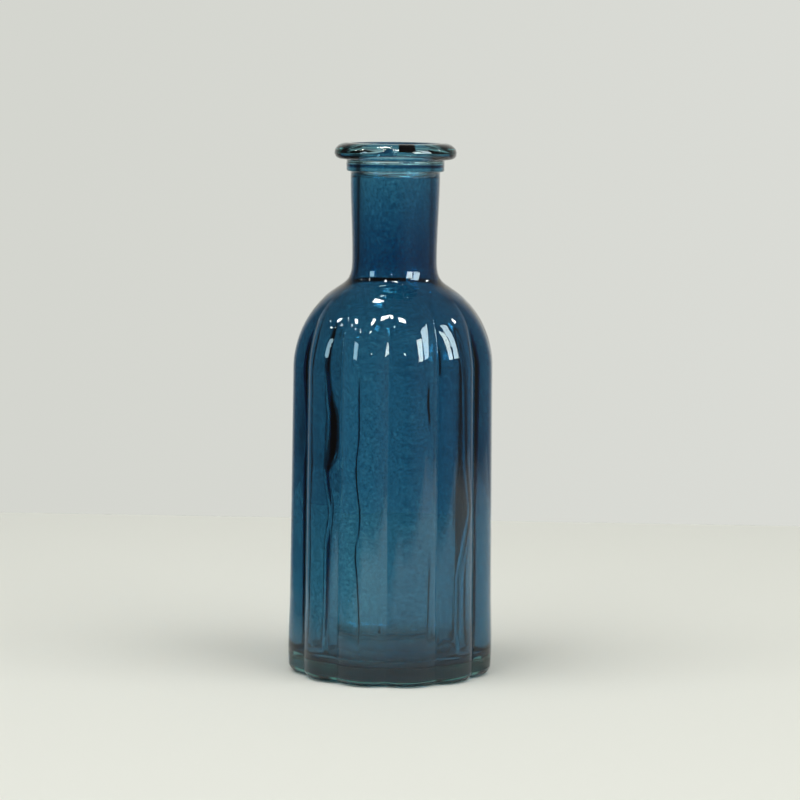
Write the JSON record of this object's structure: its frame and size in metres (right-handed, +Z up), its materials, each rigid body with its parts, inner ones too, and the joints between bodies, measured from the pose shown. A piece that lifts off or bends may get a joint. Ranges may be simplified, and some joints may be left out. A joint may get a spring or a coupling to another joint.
{
  "type": "bud vase",
  "caption": "Tall narrow-necked glass bud vase with a fluted round body, a rolled lip over a plain collar, and a blue lacquer film on its inside.",
  "frame": {"origin": "middle of the foot, on the surface that the vase stands on", "axes": "+Z up along the vase's axis; a groove between two flutes faces -Y, which is the front"},
  "size_m": [0.077, 0.077, 0.2],
  "materials": {
    "clear_glass": "smooth moulded clear glass with a slight green cast, fire-polished lip",
    "blue_lacquer": "translucent blue sprayed lacquer, finely mottled"
  },
  "bodies": {
    "root": {"glass_vessel": "clear_glass", "blue_lacquer_film": "blue_lacquer"}
  },
  "joints": []
}
